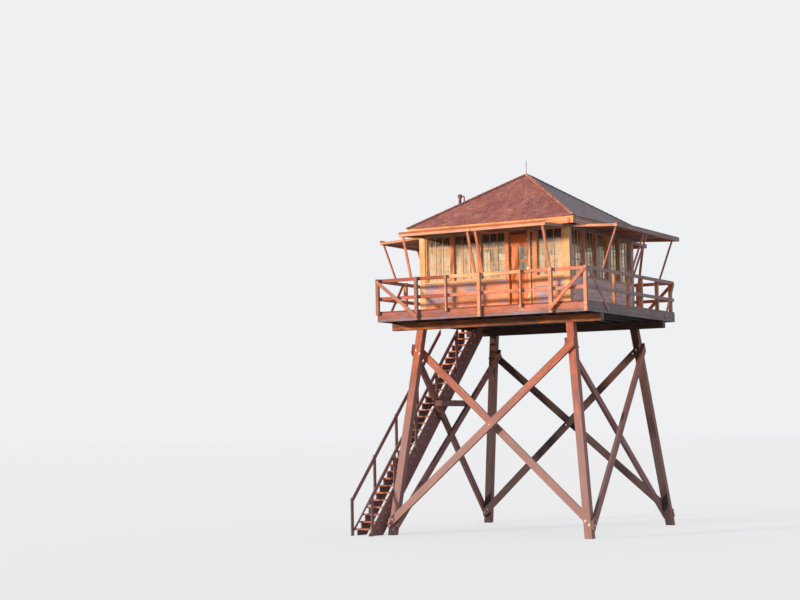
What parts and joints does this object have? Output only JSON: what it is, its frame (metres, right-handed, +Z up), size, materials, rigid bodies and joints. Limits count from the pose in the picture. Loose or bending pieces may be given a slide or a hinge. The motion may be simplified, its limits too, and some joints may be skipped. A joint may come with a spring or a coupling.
{
  "type": "fire lookout tower",
  "caption": "Square lookout cab with windows all round, propped shutters and a hipped roof, on a railed platform over four braced leaning legs with an open stair.",
  "frame": {"origin": "middle of the bounding box, on the ground", "axes": "+Z up, front wall with the door towards -Y, +X to the right seen from the front"},
  "size_m": [7.14, 6.831, 9.897],
  "materials": {
    "deck_boards": "bare weathered boards",
    "framing_timber": "rough sawn, weathered brown",
    "galvanised_metal": "dull and weathered",
    "inside_boards": "smooth boards, clear finish",
    "painted_boards": "faded paint, warm buff",
    "rail_timber": "bare weathered boards",
    "roof_shingles": "split shingles, weathered red-brown",
    "shutter_boards": "faded boards on a rim",
    "weathered_timber": "rough sawn, weathered brown",
    "window_glass": "clear window glass"
  },
  "bodies": {
    "root": {"brace_back_inner": "weathered_timber", "brace_back_outer": "weathered_timber", "brace_front_inner": "weathered_timber", "brace_front_outer": "weathered_timber", "brace_left_inner": "weathered_timber", "brace_left_outer": "weathered_timber", "brace_right_inner": "weathered_timber", "brace_right_outer": "weathered_timber", "cab_floor": "inside_boards", "cap_beam_back": "weathered_timber", "cap_beam_front": "weathered_timber", "catwalk_back": "deck_boards", "catwalk_front": "deck_boards", "catwalk_left": "deck_boards", "catwalk_right": "deck_boards", "ceiling": "inside_boards", "corner_posts": "painted_boards", "door": "painted_boards", "door_glass": "window_glass", "fascia": "painted_boards", "joists": "framing_timber", "leg_back_left": "weathered_timber", "leg_back_right": "weathered_timber", "leg_front_left": "weathered_timber", "leg_front_right": "weathered_timber", "lightning_rod": "galvanised_metal", "lower_wall_back": "painted_boards", "lower_wall_front": "painted_boards", "lower_wall_left": "painted_boards", "lower_wall_right": "painted_boards", "pipe_flashing": "galvanised_metal", "railing_back": "rail_timber", "railing_front": "rail_timber", "railing_left": "rail_timber", "railing_right": "rail_timber", "rim_board_back": "framing_timber", "rim_board_front": "framing_timber", "rim_board_left": "framing_timber", "rim_board_right": "framing_timber", "roof": "roof_shingles", "shutter_props": "rail_timber", "shutters_back": "shutter_boards", "shutters_front": "shutter_boards", "shutters_left": "shutter_boards", "shutters_right": "shutter_boards", "stair_bearer": "deck_boards", "stair_carriages": "deck_boards", "stair_rails": "deck_boards", "stair_treads": "deck_boards", "stovepipe": "galvanised_metal", "window_frame_back": "painted_boards", "window_frame_front": "painted_boards", "window_frame_left": "painted_boards", "window_frame_right": "painted_boards", "window_glass": "window_glass"}
  },
  "joints": []
}
